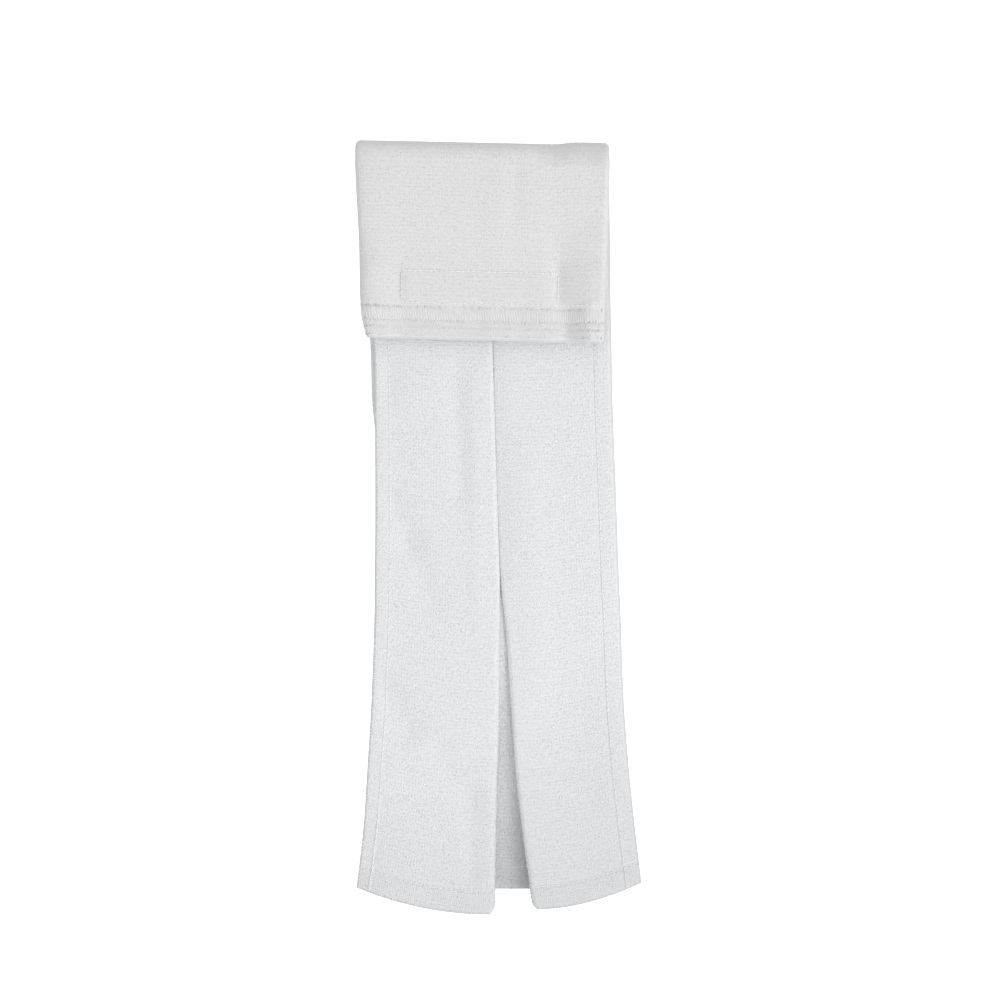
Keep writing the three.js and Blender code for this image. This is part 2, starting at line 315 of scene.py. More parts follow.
@dataclass
class TowelForm:
    """The towel's folded form: where each point of its one sheet of cloth lies, in millimetres."""

    body: SmoothTable = BODY_SECTIONS
    flap: SmoothTable = FLAP_SECTIONS
    flap_relief: SmoothTable = FLAP_RELIEF
    relief_levels: tuple[tuple[float, str], ...] = (
        (74, "band"), (88.5, "band"), (93.5, "patch"), (103, "patch"),
        (112, "above"), (128, "top"), (142, "top"), (149, "crest"),
    )
    patch: Patch = Patch()
    thickness: float = 1.8
    pitch: float = 2.5
    cloth_width: float = 300.0
    side_hems: Pair = (6.3, 7.2)
    end_hem: float = 9.0
    band: float = 15.3
    side_hem_relief: Pair = (0.3, 0.05)
    end_hem_relief: Pair = (0.25, 0.2)
    band_relief: Pair = (0.1, 0.12)
    seam_width: float = 0.4
    thinnest: float = 0.22
    tunnel: float = 7.0
    turn_y: float = 145.63
    turn_slope: float = -0.021
    turn_swell: float = 1.0
    swelling: Fade = Fade(22.0, 10.0)
    turn_square: Pair = (0.7, 1.3)
    squaring: Fade = Fade(10.0, 14.0)
    back_end: float = -147.2
    left_end: ThreadEnd = ThreadEnd(-157.1, -146.6, -150.0, 2.0)
    right_end: ThreadEnd = ThreadEnd(-154.8, -144.5, -149.0, 1.85)
    flap_left: Pair = (-53.0, 76.9)
    flap_right: Pair = (43.0, 74.5)
    radius_per_rise: float = 0.05
    fold_square: float = 0.85
    droop_hems: float = 1.5
    tuck_inset: float = 1.0
    insetting: Fade = Fade(55.0, -20.0)
    pressed: float = 0.3
    pressing: Fade = Fade(-45.0, 30.0)
    creasing: Fade = Fade(85.0, -12.0)
    pleat_reach: float = 22.0
    pleat_room: float = 0.3
    pleat_edge: float = 1.5
    pleat_bow: Pair = (0.7, 2.8)
    pleat_middle: float = 0.35
    pleat_lean: float = 0.7
    least_gap: float = 0.5
    bowing: Fade = Fade(-100.0, 60.0)
    pleat_top: Fade = Fade(97.0, -20.0)
    pleat_low: Fade = Fade(-130.0, 90.0)
    counts: Counts = Counts()
    edge_steps: tuple[float, ...] = (0.0, 0.12, 0.4, 0.9)
    after_hem: tuple[float, ...] = (0.5, 1.1, 2.0)
    by_band: tuple[float, ...] = (-1.2, -0.5, 0.0, 0.5, 1.4)
    band_stop: float = 1.8
    hem_steps: tuple[float, ...] = (-4.2, -3.0, -1.8, -0.8, -0.3, 0.0, 0.3, 0.8)
    back_steps: tuple[tuple[float, float, int], ...] = ((0.0, 0.44, 27), (0.44, 0.66, 25), (0.66, 1.0, 21))

    def __post_init__(self) -> None:
        """Works out the heights of the layers and the grid of the whole sheet."""
        self.half = self.thickness / 2
        self.back_level = self.half
        self.return_level = self.back_level + self.pitch
        self.front_level = self.return_level + self.pitch
        self.tuck_radius = self.pitch / 2
        self.turn_radius = 2 * self.pitch + self.thickness + self.tunnel / 2
        self.body_length = self.body.key[0] - self.body.key[-1]
        self.turn_length = math.pi * (self.turn_radius - self.half)
        self.flap_length = self.flap.key[0] - self.flap.key[-1]
        self.length = self.body_length + self.turn_length + self.flap_length
        self._lay_out()

    def _rows(self) -> tuple[Array, Array]:
        """Rows along the strip, finer at its two ends and its seams.

        Returns:
            The part each row is in, and its distance along the cloth from the lower end.
        """
        count, hem, seam = self.counts, self.end_hem, self.length - self.band
        *by_hem, body_start = (hem + step for step in self.after_hem)
        flap_stop, *by_band, band_start = (seam + step for step in self.by_band)
        low = [*self.edge_steps, *np.linspace(self.edge_steps[-1], hem, count.hem)[1:], *by_hem]
        body = np.concatenate([low, np.linspace(body_start, self.body_length, count.body)])
        turn = self.body_length + np.linspace(0.0, self.turn_length, count.turn)[1:-1]
        flap = np.concatenate([
            np.linspace(self.body_length + self.turn_length, flap_stop, count.flap), by_band,
            np.linspace(band_start, self.length - self.band_stop, count.band),
            self.length - np.array(self.edge_steps[::-1]),
        ])
        return np.repeat(list(Part), [len(body), len(turn), len(flap)]), np.concatenate([body, turn, flap])

    def _half_path(self, edges: list[Array], end: ThreadEnd, side: int, side_hem: float) -> Grids:
        """One side of the folded section, from its side hem over the middle fold and return to the tuck.

        Args:
            edges: The rows' x of hem, fold and tuck, their rise of the fold and their lift of the hem.
            end: Where this side's threads end below.
            side: 1 for the left half, whose middle fold points to the right, and -1 for the right half.
            side_hem: The width of its side hem.

        Returns:
            Grids of x, z and end_y, and for each column its run, hem gap and side hem's width.
        """
        hem, fold, tuck, rise, lift = (edge[:, None] for edge in edges)
        radius = self.tuck_radius + self.radius_per_rise * rise
        every_row = 0 * radius
        fold_top = self.front_level + rise
        fold_start = fold - side * (self.half + radius)
        tuck_start = tuck + side * (self.half + self.tuck_radius)
        width = np.abs(fold_start - hem)

        hem_steps = np.array([*self.edge_steps, *(side_hem + np.array(self.hem_steps))])
        share = np.linspace(0.0, 1.0, self.counts.front)[None, 1:]
        from_hem = np.hstack([np.tile(hem_steps, (len(hem), 1)), lerp(hem_steps[-1], width, share)])
        u = from_hem / width
        droop = lift * (1 - ease(from_hem / (self.droop_hems * side_hem)))
        front = (hem + side * from_hem, self.front_level + rise * ease(u) + droop,
                 lerp(end.fold, end.hem, (1 - u) ** end.power))

        turn = np.linspace(0.0, 1.0, self.counts.fold)[None, 1:-1]
        out, up = np.sin(math.pi * turn) ** self.fold_square, np.cos(math.pi * turn)
        up = np.sign(up) * np.abs(up) ** self.fold_square
        middle = (fold_start + side * radius * out, fold_top - radius * (1 - up),
                  lerp(end.fold, end.in_fold, ease(turn)) + every_row)

        share = np.linspace(0.0, 1.0, self.counts.back)[None, :]
        back = (lerp(fold_start, tuck_start, share),
                lerp(fold_top - 2 * radius, self.return_level, ease(share)),
                lerp(end.in_fold, self.back_end, ease(share)) + every_row)

        turn = np.linspace(0.0, 1.0, self.counts.tuck)[None, 1:-1]
        tucked = (tuck_start - side * self.tuck_radius * np.sin(math.pi * turn),
                  self.back_level + self.tuck_radius * (1 + np.cos(math.pi * turn)) + every_row,
                  self.back_end + 0 * turn + every_row)
        pieces = (front, middle, back, tucked)
        x, z, end_y = (np.hstack([piece[k] for piece in pieces]) for k in range(3))
        run = np.repeat([Run.FRONT, Run.FOLD, Run.RETURN, Run.TUCK], [piece[0].shape[1] for piece in pieces])
        hem_gap = np.concatenate([hem_steps, np.full(len(run) - len(hem_steps), 2 * side_hem)])
        hem_width = np.full(len(run), side_hem)
        return {"x": x, "z": z, "end_y": end_y, "hem_gap": hem_gap, "hem": hem_width, "run": run}

    def _lay_out(self) -> None:
        """Lays the sheet's grid: its middle surface, normals, and places along and across the cloth."""
        self.part, self.along = self._rows()
        body, turn, flap = (self.part == part for part in Part)
        share = np.where(body, 1 - self.along / self.body_length, 0.0)
        angle = np.where(turn, (self.along - self.body_length) / self.turn_length * math.pi, 0.0)
        flap_share = np.where(flap, (self.along - self.length + self.flap_length) / self.flap_length, 0.0)
        y_body = lerp(self.body.key[0], self.body.key[-1], share)
        y_flap = lerp(self.flap.key[0], self.flap.key[-1], flap_share)
        inset, pressed = self.tuck_inset * self.insetting.at(y_body), self.pressed * self.pressing.at(y_body)
        moved = {"tuck_l": inset, "tuck_r": -inset, "fold_l": pressed, "fold_r": -pressed}

        def column(name: str) -> Array:
            """A column for every row of the grid, from the flap's table where it has it."""
            read = self.body.read(name, y_body)
            over = self.flap.read(name, y_flap) if name in self.flap.values else read
            return np.where(flap, over, read + moved.get(name, 0.0))

        def half(letter: str, *rest: object) -> Grids:
            """The path of one half in every row."""
            edges = [column(f"{name}_{letter}") for name in ("hem", "fold", "tuck", "rise")]
            return self._half_path([*edges, column("hem_lift")], *rest)

        left = half("l", self.left_end, 1, self.side_hems[0])
        right = half("r", self.right_end, -1, self.side_hems[1])
        corner, hem = self.half + self.tuck_radius, max(self.side_hems)
        v = np.concatenate([[0.0], *(np.linspace(*steps)[1:] for steps in self.back_steps)])
        back_x = lerp((column("tuck_l") + corner)[:, None], (column("tuck_r") - corner)[:, None], v[None, :])
        back = {"x": back_x, "z": self.back_level + 0 * back_x, "end_y": self.back_end + 0 * back_x}
        for name, value in (("hem_gap", 2 * hem), ("hem", hem), ("run", Run.BACK)):
            back[name] = np.full(len(v), value)
        paths = [left, back, {name: values[..., ::-1] for name, values in right.items()}]
        x, z, end_y, self.hem_gap, self.hem, self.run = (
            np.concatenate([path[name] for path in paths], axis=-1)
            for name in ("x", "z", "end_y", "hem_gap", "hem", "run"))

        line = self.turn_y + self.turn_slope * x + self.turn_swell * self.swelling.at(x)
        reach = self.turn_radius - z
        flap_end = np.interp(x, *zip(self.flap_left, self.flap_right))
        top = np.where(flap, self.flap.read("top", y_flap), 0.0)[:, None]
        over = (angle > math.pi / 2)[:, None]
        power = np.where(over, lerp(*self.turn_square, self.squaring.at(x)), 1.0)
        out, up = np.sin(angle)[:, None] ** power, np.abs(np.cos(angle))[:, None] ** power
        where = [self.part[:, None] == part for part in Part]
        y = np.select(where, [lerp(line, end_y, share[:, None]), line + reach * out,
                              lerp(line, flap_end, flap_share[:, None])])
        z = np.select(where, [z, self.turn_radius + reach * np.where(over, up, -up), top - z])

        on_front = np.isin(self.run, (Run.FRONT, Run.FOLD))[None, :] & body[:, None]
        on_left = np.arange(len(self.run)) < left["x"].shape[1]
        for creases, half_of in ((LEFT_CREASES, on_left), (RIGHT_CREASES, ~on_left)):
            lift = sum(crease.lift(x, y) for crease in creases) * self.creasing.at(y)
            z = z + np.where(on_front & half_of, lift, 0.0)
        z = z + np.where((self.run == Run.BACK)[None, :] & body[:, None], self._pleat_lift(x, y), 0.0)
        turned = np.where(flap, 1.0, ease(2 * angle / math.pi - 1))[:, None]
        z = z + turned * self._flap_lift(x, y)
        self.middle = np.stack([x, y, z], axis=-1)

        along_step, across_step = np.gradient(self.middle, axis=0), np.gradient(self.middle, axis=1)
        self.normal = unit(np.cross(across_step, along_step))
        steps = np.linalg.norm(np.diff(self.middle, axis=1), axis=-1)
        across = np.hstack([np.zeros((len(x), 1)), np.cumsum(steps, axis=1)])
        self.across = across * self.cloth_width / across[:, -1:]
        self._thicken()

    def _pleat_lift(self, x: Array, y: Array) -> Array:
        """How far the back layer springs up towards the two folds, and a little more in the gap between them.

        Args:
            x: Places across the towel.
            y: Places along it.

        Returns:
            The lift at each place.
        """
        left, right, *rises = (self.body.read(name, y) for name in ("fold_l", "fold_r", "rise_l", "rise_r"))
        under = []
        for rise in rises:
            fold_under = self.front_level + rise - 2 * (self.tuck_radius + self.radius_per_rise * rise)
            under.append(fold_under - self.thickness - self.pleat_room - self.back_level)
        share = (x - left) / np.maximum(right - left, self.least_gap)
        outside = np.maximum(np.maximum(left - x, x - right), 0.0)
        height = lerp(*self.pleat_bow, self.bowing.at(y)) * ease((right - left) / self.pleat_edge)
        height = height * lerp(1.0, self.pleat_middle, np.clip(share, 0.0, 1.0))
        room = np.maximum(lerp(*under, self.pleat_lean * ease(share)), 0.0)
        lift = room * ease(1 - outside / self.pleat_reach) + height * ease(1 - outside / self.pleat_edge)
        return lift * (self.pleat_top.at(y) * self.pleat_low.at(y))

    def _flap_lift(self, x: Array, y: Array) -> Array:
        """How far the flap's ridges, hollows and patch lift its layers.

        Args:
            x: Places across the towel.
            y: Places along it.

        Returns:
            The lift at each place.
        """
        heights = np.array([height for height, _ in self.relief_levels])
        lifts = np.stack([self.flap_relief.read(name, x) for _, name in self.relief_levels])
        i = np.clip(np.searchsorted(heights, y) - 1, 0, len(heights) - 2)
        u = ease((y - heights[i]) / (heights[i + 1] - heights[i]))
        below, over = (np.take_along_axis(lifts, k[None], axis=0)[0] for k in (i, i + 1))
        return lerp(below, over, u) + self.patch.lift(x, self.length - self.band - self.along[:, None])

    def _hem_height(self, gap: Array, width: Array | float, relief: Pair) -> Array:
        """A turned hem's extra height at distances from the edge, from its height and its seam's dip."""
        crown = relief[0] * np.where(gap < width, 1 - (2 * gap / width - 1) ** 6, 0.0)
        return crown - relief[1] * np.exp(-(((gap - width) / self.seam_width) ** 2))

    def _thicken(self) -> None:
        """Makes the grids of the pile side and the reverse side, rounded at the cloth's edges."""
        from_low, from_high = self.along[:, None], (self.length - self.along)[:, None]
        side = self.hem_gap[None, :]
        u = np.clip(np.minimum(np.minimum(from_low, from_high), side) / self.half, 0.0, 1.0)
        shrink = np.maximum(np.sqrt(1 - (1 - u) ** 2), self.thinnest)
        hems = self._hem_height(side, self.hem[None, :], self.side_hem_relief)
        low = self._hem_height(from_low, self.end_hem, self.end_hem_relief)
        band = self._hem_height(from_high, self.band, self.band_relief)
        pile = (self.half + hems + low) * shrink
        reverse = (self.half + np.where(self.part[:, None] == Part.FLAP, band, 0.0)) * shrink
        self.pile_face = self.middle + self.normal * pile[..., None]
        self.reverse_face = self.middle - self.normal * reverse[..., None]

    def across_of(self, x: float, along: float) -> float:
        """The distance across the cloth at an x on the back layer, at a distance along it."""
        row, back = int(np.abs(self.along - along).argmin()), self.run == Run.BACK
        return float(np.interp(x, self.middle[row, back, 0], self.across[row, back]))

    def sample(self, across: Array, along: Array, side: int) -> Grids:
        """One face of the cloth at a grid of places.

        Args:
            across: Distances across the cloth from its left side hem.
            along: Distances along it from its lower end.
            side: 1 for the pile side and -1 for the reverse side.

        Returns:
            Grids of place, normal (out of that side) and run.
        """
        face = self.pile_face if side > 0 else self.reverse_face
        columns = np.arange(self.across.shape[1])
        at = np.interp(along, self.along, np.arange(len(self.along)))
        low = np.minimum(at.astype(int), len(self.along) - 2)
        found: dict[str, list[Array]] = {"place": [], "normal": [], "run": []}
        for row, share in zip(low, at - low):
            column = np.interp(across, lerp(self.across[row], self.across[row + 1], share), columns)
            c = np.minimum(column.astype(int), len(columns) - 2)
            w = (column - c)[:, None]
            for name, grid in (("place", face), ("normal", self.normal * side)):
                line = lerp(grid[row], grid[row + 1], share)
                found[name].append(lerp(line[c], line[c + 1], w))
            found["run"].append(self.run[np.rint(column).astype(int)])
        grids = {name: np.array(values) for name, values in found.items()}
        grids["normal"] = unit(grids["normal"])
        return grids


def add_node(tree: bpy.types.NodeTree, kind: str, values: dict | None = None, **settings: object) -> Node:
    """Adds a node.

    Args:
        tree: The node tree.
        kind: The node's type.
        values: What goes into its inputs: a socket to link, or a value.
        settings: Its properties.

    Returns:
        The node.
    """
    node = tree.nodes.new(kind)
    for name, value in settings.items():
        setattr(node, name, value)
    for name, value in (values or {}).items():
        if isinstance(value, Socket):
            tree.links.new(value, node.inputs[name])
        else:
            node.inputs[name].default_value = value
    return node


class Shader:
    """A material's node tree, with short ways to add and join its nodes."""

    def __init__(self, name: str) -> None:
        """Starts a material with a Principled shader.

        Args:
            name: The material's name.
        """
        self.material = bpy.data.materials.new(name)
        self.material.use_nodes = True
        self.tree = self.material.node_tree
        self.principled = self.tree.nodes["Principled BSDF"]

    def set(self, **values: float | tuple[float, ...]) -> None:
        """Sets the Principled shader's own sockets, with underscores for spaces in their names."""
        for name, value in values.items():
            self.principled.inputs[name.replace("_", " ").title().replace("Ior", "IOR")].default_value = value

    def add(self, kind: str, values: dict | None = None, output: int | str = 0, **settings: object) -> Socket:
        """Adds a shader node and gives one of its outputs."""
        return add_node(self.tree, f"ShaderNode{kind}", values, **settings).outputs[output]

    def maths(self, operation: str, *values: object) -> Socket:
        """The result of a maths node on sockets or numbers."""
        return self.add("Math", dict(enumerate(values)), operation=operation)

    def object_place(self) -> Socket:
        """The place in the piece's own space."""
        return self.add("TexCoord", output="Object")

    def cloth_place(self, across: float, along: float) -> Socket:
        """The place on the cloth, which grows by 1 with each pitch across and along it, in millimetres."""
        scale = (1 / (across * MM), 1 / (along * MM), 1.0)
        return self.add("Mapping", {"Vector": self.add("UVMap", uv_map=ClothMesh.UV), "Scale": scale})

    def colour(self, finish: "CottonFinish", share: Socket) -> None:
        """Colours the surface between the finish's two colours, darkened towards one corner of the towel by
        painted shade of the light's falloff.

        Args:
            finish: The finish.
            share: A socket that varies over the surface: 0 for the low colour and 1 for the high one.
        """
        colours = {"A": (*finish.low, 1.0), "B": (*finish.high, 1.0)}
        mixed = self.add("Mix", {"Factor": share, **colours}, "Result", data_type="RGBA")
        # Painted shade: the colour darkens along a slant towards one corner, where the light falls off.
        grey = finish.grey
        place = add_node(self.tree, "ShaderNodeSeparateXYZ", {"Vector": self.object_place()}).outputs
        towards = self.maths("SUBTRACT", self.maths("MULTIPLY", place["X"], grey.slant), place["Y"])
        tone = self.add("MapRange", {
            "Value": towards, "From Min": grey.start * MM, "From Max": grey.end * MM,
            "To Min": 1.0, "To Max": grey.tone,
        }, "Result")
        toned = self.add("VectorMath", {0: mixed, "Scale": tone}, operation="SCALE")
        self.tree.links.new(toned, self.principled.inputs["Base Color"])

    def bump(self, height: Socket, distance: float) -> None:
        """Gives the surface a bump of a height in millimetres at socket value 1."""
        normal = self.add("Bump", {"Height": height, "Distance": distance * MM, "Strength": 1.0}, "Normal")
        self.tree.links.new(normal, self.principled.inputs["Normal"])


@dataclass(frozen=True)
class PaintedFalloff:
    """A darkening of the colour along a slanted direction, painted shade of the light's falloff: where it
    starts and ends, and the last tone.
    """

    slant: float = 0.9
    start: float = 80.0
    end: float = 180.0
    tone: float = 0.87


# The yarn is coloured lighter than the cotton ground under it: painted highlight on the loops and painted
# shade on the ground between them.
BODY_YARN: tuple[Colour, Colour] = ((0.87, 0.877, 0.888), (0.985, 0.988, 0.99))
# Painted shade of the gap between the folds: the back layer's colour darkens steeply towards its lower right.
GAP_PAINTED_SHADE = PaintedFalloff(slant=1.5, start=112.0, end=160.0, tone=0.7)


@dataclass(frozen=True)
class CottonFinish:
    """White cotton, matt and a little fuzzy. Its weave is given by the classes that follow."""

    name: str
    low: Colour = (0.82, 0.827, 0.839)
    high: Colour = (0.86, 0.866, 0.875)
    roughness: float = 0.95
    gloss: float = 0.15
    sheen: float = 0.15
    sheen_roughness: float = 0.6
    glow: float = 0.4
    glow_depth: float = 1.0
    # Every finish darkens towards the towel's lower right corner: painted shade of the light's falloff.
    grey: PaintedFalloff = PaintedFalloff()

    def build(self) -> bpy.types.Material:
        """Makes the material.

        Returns:
            The material, with colour, sheen and weave.
        """
        shader = Shader(self.name)
        shader.set(roughness=self.roughness, specular_ior_level=self.gloss, sheen_weight=self.sheen)
        shader.set(sheen_roughness=self.sheen_roughness, subsurface_weight=self.glow)
        shader.set(subsurface_scale=self.glow_depth * MM, subsurface_radius=(1.0, 1.0, 1.0))
        self.weave(shader)
        return shader.material

    def weave(self, shader: Shader) -> None:
        """Adds colour and relief to the material that the shader makes."""
        raise NotImplementedError(self.name)


@dataclass(frozen=True)
class TerryFinish(CottonFinish):
    """Terry ground: rows of knots, each about a loop wide."""

    knot: Pair = (1.25, 1.64)
    depth: float = 0.2
    disorder: float = 0.55
    knot_height: float = 0.75

    def weave(self, shader: Shader) -> None:
        """Adds the knots' relief and a colour that is darker between them, painted shade in the weave's
        hollows.

        Args:
            shader: The material's shader.
        """
        values = {"Vector": shader.cloth_place(*self.knot), "Scale": 1.0, "Randomness": self.disorder}
        gap = shader.add("TexVoronoi", values, "Distance", feature="F1")
        height = shader.maths("SUBTRACT", self.knot_height, gap)
        # Painted shade: the colour follows the knots' height and darkens between them.
        shader.colour(self, height)
        shader.bump(height, self.depth)


@dataclass(frozen=True)
class WovenFinish(CottonFinish):
    """Flat-woven cotton: fine threads, with ribs along the warp where it is a band."""

    rib: float = 0.9
    rib_depth: float = 0.08
    rib_length: float = 3.0
    thread: float = 0.55
    thread_height: float = 0.45
    disorder: Pair = (0.6, 0.8)
    cloud: float = 5.0
    # A wave texture at this scale has one wave for each unit of its vector.
    ONE_WAVE = 1 / 3.1831

    def weave(self, shader: Shader) -> None:
        """Adds ribs and cross threads.

        Args:
            shader: The material's shader.
        """
        waves = []
        pitches = ((self.rib, self.rib_length), (self.rib_length, self.thread))
        for pitch, disorder, direction in zip(pitches, self.disorder, "XY"):
            values = {"Vector": shader.cloth_place(*pitch), "Scale": self.ONE_WAVE, "Distortion": disorder}
            waves.append(shader.add("TexWave", values, "Fac", bands_direction=direction))
        height = shader.maths("ADD", waves[0], shader.maths("MULTIPLY", waves[1], self.thread_height))
        values = {"Vector": shader.cloth_place(self.cloud, self.cloud), "Scale": 1.0, "Detail": 2.0}
        shader.colour(self, shader.add("TexNoise", values, "Fac"))
        shader.bump(height, self.rib_depth)


@dataclass(frozen=True)
class YarnFinish(CottonFinish):
    """Loose yarn of the pile, with its colour varying from loop to loop."""

    grain: float = 900.0
    contrast: float = 2.0

    def weave(self, shader: Shader) -> None:
        """Adds the variation, on the yarn's own place.

        Args:
            shader: The material's shader.
        """
        values = {"Vector": shader.object_place(), "Scale": self.grain, "Detail": 1.0}
        grain, middle = shader.add("TexNoise", values, "Fac"), 0.5 - 0.5 * self.contrast
        shader.colour(self, shader.maths("MULTIPLY_ADD", grain, self.contrast, middle))


@dataclass(frozen=True)
class TapeFinish(CottonFinish):
    """Nylon tape with rows of small hooks."""

    hook_pitch: float = 1.4
    hook_height: float = 0.3
    disorder: float = 0.2

    def weave(self, shader: Shader) -> None:
        """Adds the hooks as fine bumps.

        Args:
            shader: The material's shader.
        """
        values = {"Scale": 1 / (self.hook_pitch * MM), "Randomness": self.disorder}
        dots = shader.add("TexVoronoi", {"Vector": shader.object_place(), **values}, "Distance")
        # Painted shade: the colour follows the bumps' height and darkens in their low places.
        shader.colour(self, dots)
        shader.bump(dots, self.hook_height)


@dataclass
class Finishes:
    """Every material of the towel, made once."""

    pile: TerryFinish = TerryFinish("terry_pile")
    reverse: TerryFinish = TerryFinish(
        "terry_reverse", (0.775, 0.775, 0.777), (0.815, 0.815, 0.815), knot=(1.1, 1.8), depth=0.15)
    # The back layer and its loops carry painted shade where they lie in the gap between the folds.
    inner: TerryFinish = TerryFinish("inner_terry_painted_shade", grey=GAP_PAINTED_SHADE)
    side_hem: TerryFinish = TerryFinish("side_hem", knot=(1.0, 1.64), depth=0.15)
    end_hem: WovenFinish = WovenFinish("end_hem", rib=0.8, rib_depth=0.1)
    band: WovenFinish = WovenFinish(
        "ribbed_band", (0.785, 0.785, 0.785), (0.825, 0.825, 0.823), rib=1.06, rib_depth=0.06)
    # The rounded edges are coloured darker than the cloth: painted shade where they turn away from the light.
    rim: TerryFinish = TerryFinish("painted_edge_shade", (0.7, 0.703, 0.708), (0.74, 0.743, 0.748), depth=0.1)
    # The pile_yarn, reverse_yarn and band_yarn finishes are lighter than the grounds they stand on: painted
    # highlight on loops and ribs, painted shade between them.
    loops: YarnFinish = YarnFinish("pile_yarn", *BODY_YARN)
    inner_loops: YarnFinish = YarnFinish("inner_yarn_painted_shade", grey=GAP_PAINTED_SHADE)
    low_loops: YarnFinish = YarnFinish("reverse_yarn", (0.8, 0.8, 0.802), (0.9, 0.9, 0.9))
    band_yarn: YarnFinish = YarnFinish("band_yarn", (0.88, 0.88, 0.88), (0.93, 0.93, 0.928))
    thread: YarnFinish = YarnFinish("sewing_thread", (0.93, 0.93, 0.93), (0.96, 0.96, 0.96), roughness=0.7)
    tape: TapeFinish = TapeFinish("hook_tape_nylon", (0.7, 0.7, 0.68), (0.8, 0.8, 0.78), roughness=0.6)

    def __post_init__(self) -> None:
        """Makes the materials."""
        self.made = {one.name: getattr(self, one.name).build() for one in fields(self)}

    def __getitem__(self, name: str) -> bpy.types.Material:
        """The material of that name."""
        return self.made[name]


def mesh_of(name: str, places: Array, faces: Array) -> bpy.types.Mesh:
    """A smooth mesh from arrays.

    Args:
        name: The mesh's name.
        places: Its vertices, in metres.
        faces: Its faces, each of as many corners.

    Returns:
        The mesh.
    """
    mesh = bpy.data.meshes.new(name)
    mesh.from_pydata(places.tolist(), [], faces.tolist())
    mesh.polygons.foreach_set("use_smooth", np.ones(len(mesh.polygons), dtype=bool))
    mesh.update()
    return mesh


def placed(name: str, data: bpy.types.ID) -> Piece:
    """Puts a new object in the scene.

    Args:
        name: Its name.
        data: Its mesh, light or camera.

    Returns:
        The object.
    """
    piece = bpy.data.objects.new(name, data)
    bpy.context.scene.collection.objects.link(piece)
    return piece


@dataclass
class ClothMesh:
    """The towel's cloth as one closed sheet, rounded at its edges, with its place on the cloth as UV."""

    form: TowelForm
    finishes: Finishes
    UV = "cloth"

    def _weaves(self) -> tuple[Array, Array]:
        """The weave of each grid cell.

        Returns:
            A grid of weaves for the pile side, and one for the reverse side.
        """
        form = self.form
        along = (form.along[1:] + form.along[:-1])[:, None] / 2
        gap, hem = ((values[1:] + values[:-1])[None, :] / 2 for values in (form.hem_gap, form.hem))
        cases = [
            (np.minimum(np.minimum(along, form.length - along), gap) < form.edge_steps[-1], Weave.RIM),
            (along > form.length - form.band, Weave.BAND),
            (along < form.end_hem, Weave.END_HEM),
            (gap < hem, Weave.SIDE_HEM),
        ]

        def chosen(cases: list[tuple[Array, Weave]], plain: Weave) -> Array:
            """The weave of the first case that holds in each cell."""
            masks, weaves = zip(*cases)
            return np.select(np.broadcast_arrays(*masks), [int(weave) for weave in weaves], int(plain))

        inner = ((form.run[1:] == Run.BACK)[None, :], Weave.INNER)
        return chosen([inner, *cases], Weave.PILE), chosen(cases, Weave.REVERSE)

    def build(self) -> Piece:
        """Makes the sheet.

        Returns:
            The cloth's object.
        """
        form = self.form
        rows, columns = form.across.shape
        count = rows * columns
        index = np.arange(count).reshape(rows, columns)
        a, b, c, d = index[:-1, :-1], index[:-1, 1:], index[1:, 1:], index[1:, :-1]
        top, under = (np.stack(cell, axis=-1).reshape(-1, 4) for cell in ((a, b, c, d), (a, d, c, b)))
        rims = ((index[1:, 0], index[:-1, 0]), (index[:-1, -1], index[1:, -1]),
                (index[0, :-1], index[0, 1:]), (index[-1, 1:], index[-1, :-1]))
        walls = [np.stack([p, p + count, q + count, q], axis=-1) for p, q in rims]
        quads = np.concatenate([top, under + count, *walls])
        places = np.concatenate([form.pile_face.reshape(-1, 3), form.reverse_face.reshape(-1, 3)]) * MM
        mesh = mesh_of("towel_cloth", places, quads)
        for weave in Weave:
            mesh.materials.append(self.finishes[weave.name.lower()])
        on_pile, on_reverse = self._weaves()
        rim_weaves = (on_pile[:, 0], on_pile[:, -1], on_pile[0], on_pile[-1])
        weaves = np.concatenate([on_pile.ravel(), on_reverse.ravel(), *rim_weaves])
        mesh.polygons.foreach_set("material_index", weaves.astype(np.int32))
        along = np.broadcast_to(form.along[:, None], form.across.shape)
        uv = np.tile(np.stack([form.across, along], axis=-1).reshape(-1, 2), (2, 1)) * MM
        layer = mesh.uv_layers.new(name=self.UV)
        layer.data.foreach_set("uv", uv[quads.ravel()].astype(np.float32).ravel())
        LOG.info("towel_cloth: %d vertices, %d faces", len(mesh.vertices), len(mesh.polygons))
        return placed(mesh.name, mesh)


class Arches(NamedTuple):
    """Where short arches of yarn stand: their places, directions and sizes, a row each."""

    place: Array
    stand: Array
    facing: Array
    size: Array


@dataclass(frozen=True)
class Yarn:
    """One kind of arch: its yarn, its shape in millimetres, and how it leans, twists and varies in size."""

    finish: str
    radius: float
    width: float
    height: float
    sunk: float
    lean: float
    twist: float
    spread: float

    def sizes(self) -> tuple[float, ...]:
        """Its sizes in the order of the yarn tree's inputs, lengths in metres."""
        lengths = (self.radius, self.width, self.height, self.sunk)
        return (*(length * MM for length in lengths), self.lean, self.twist, self.spread)


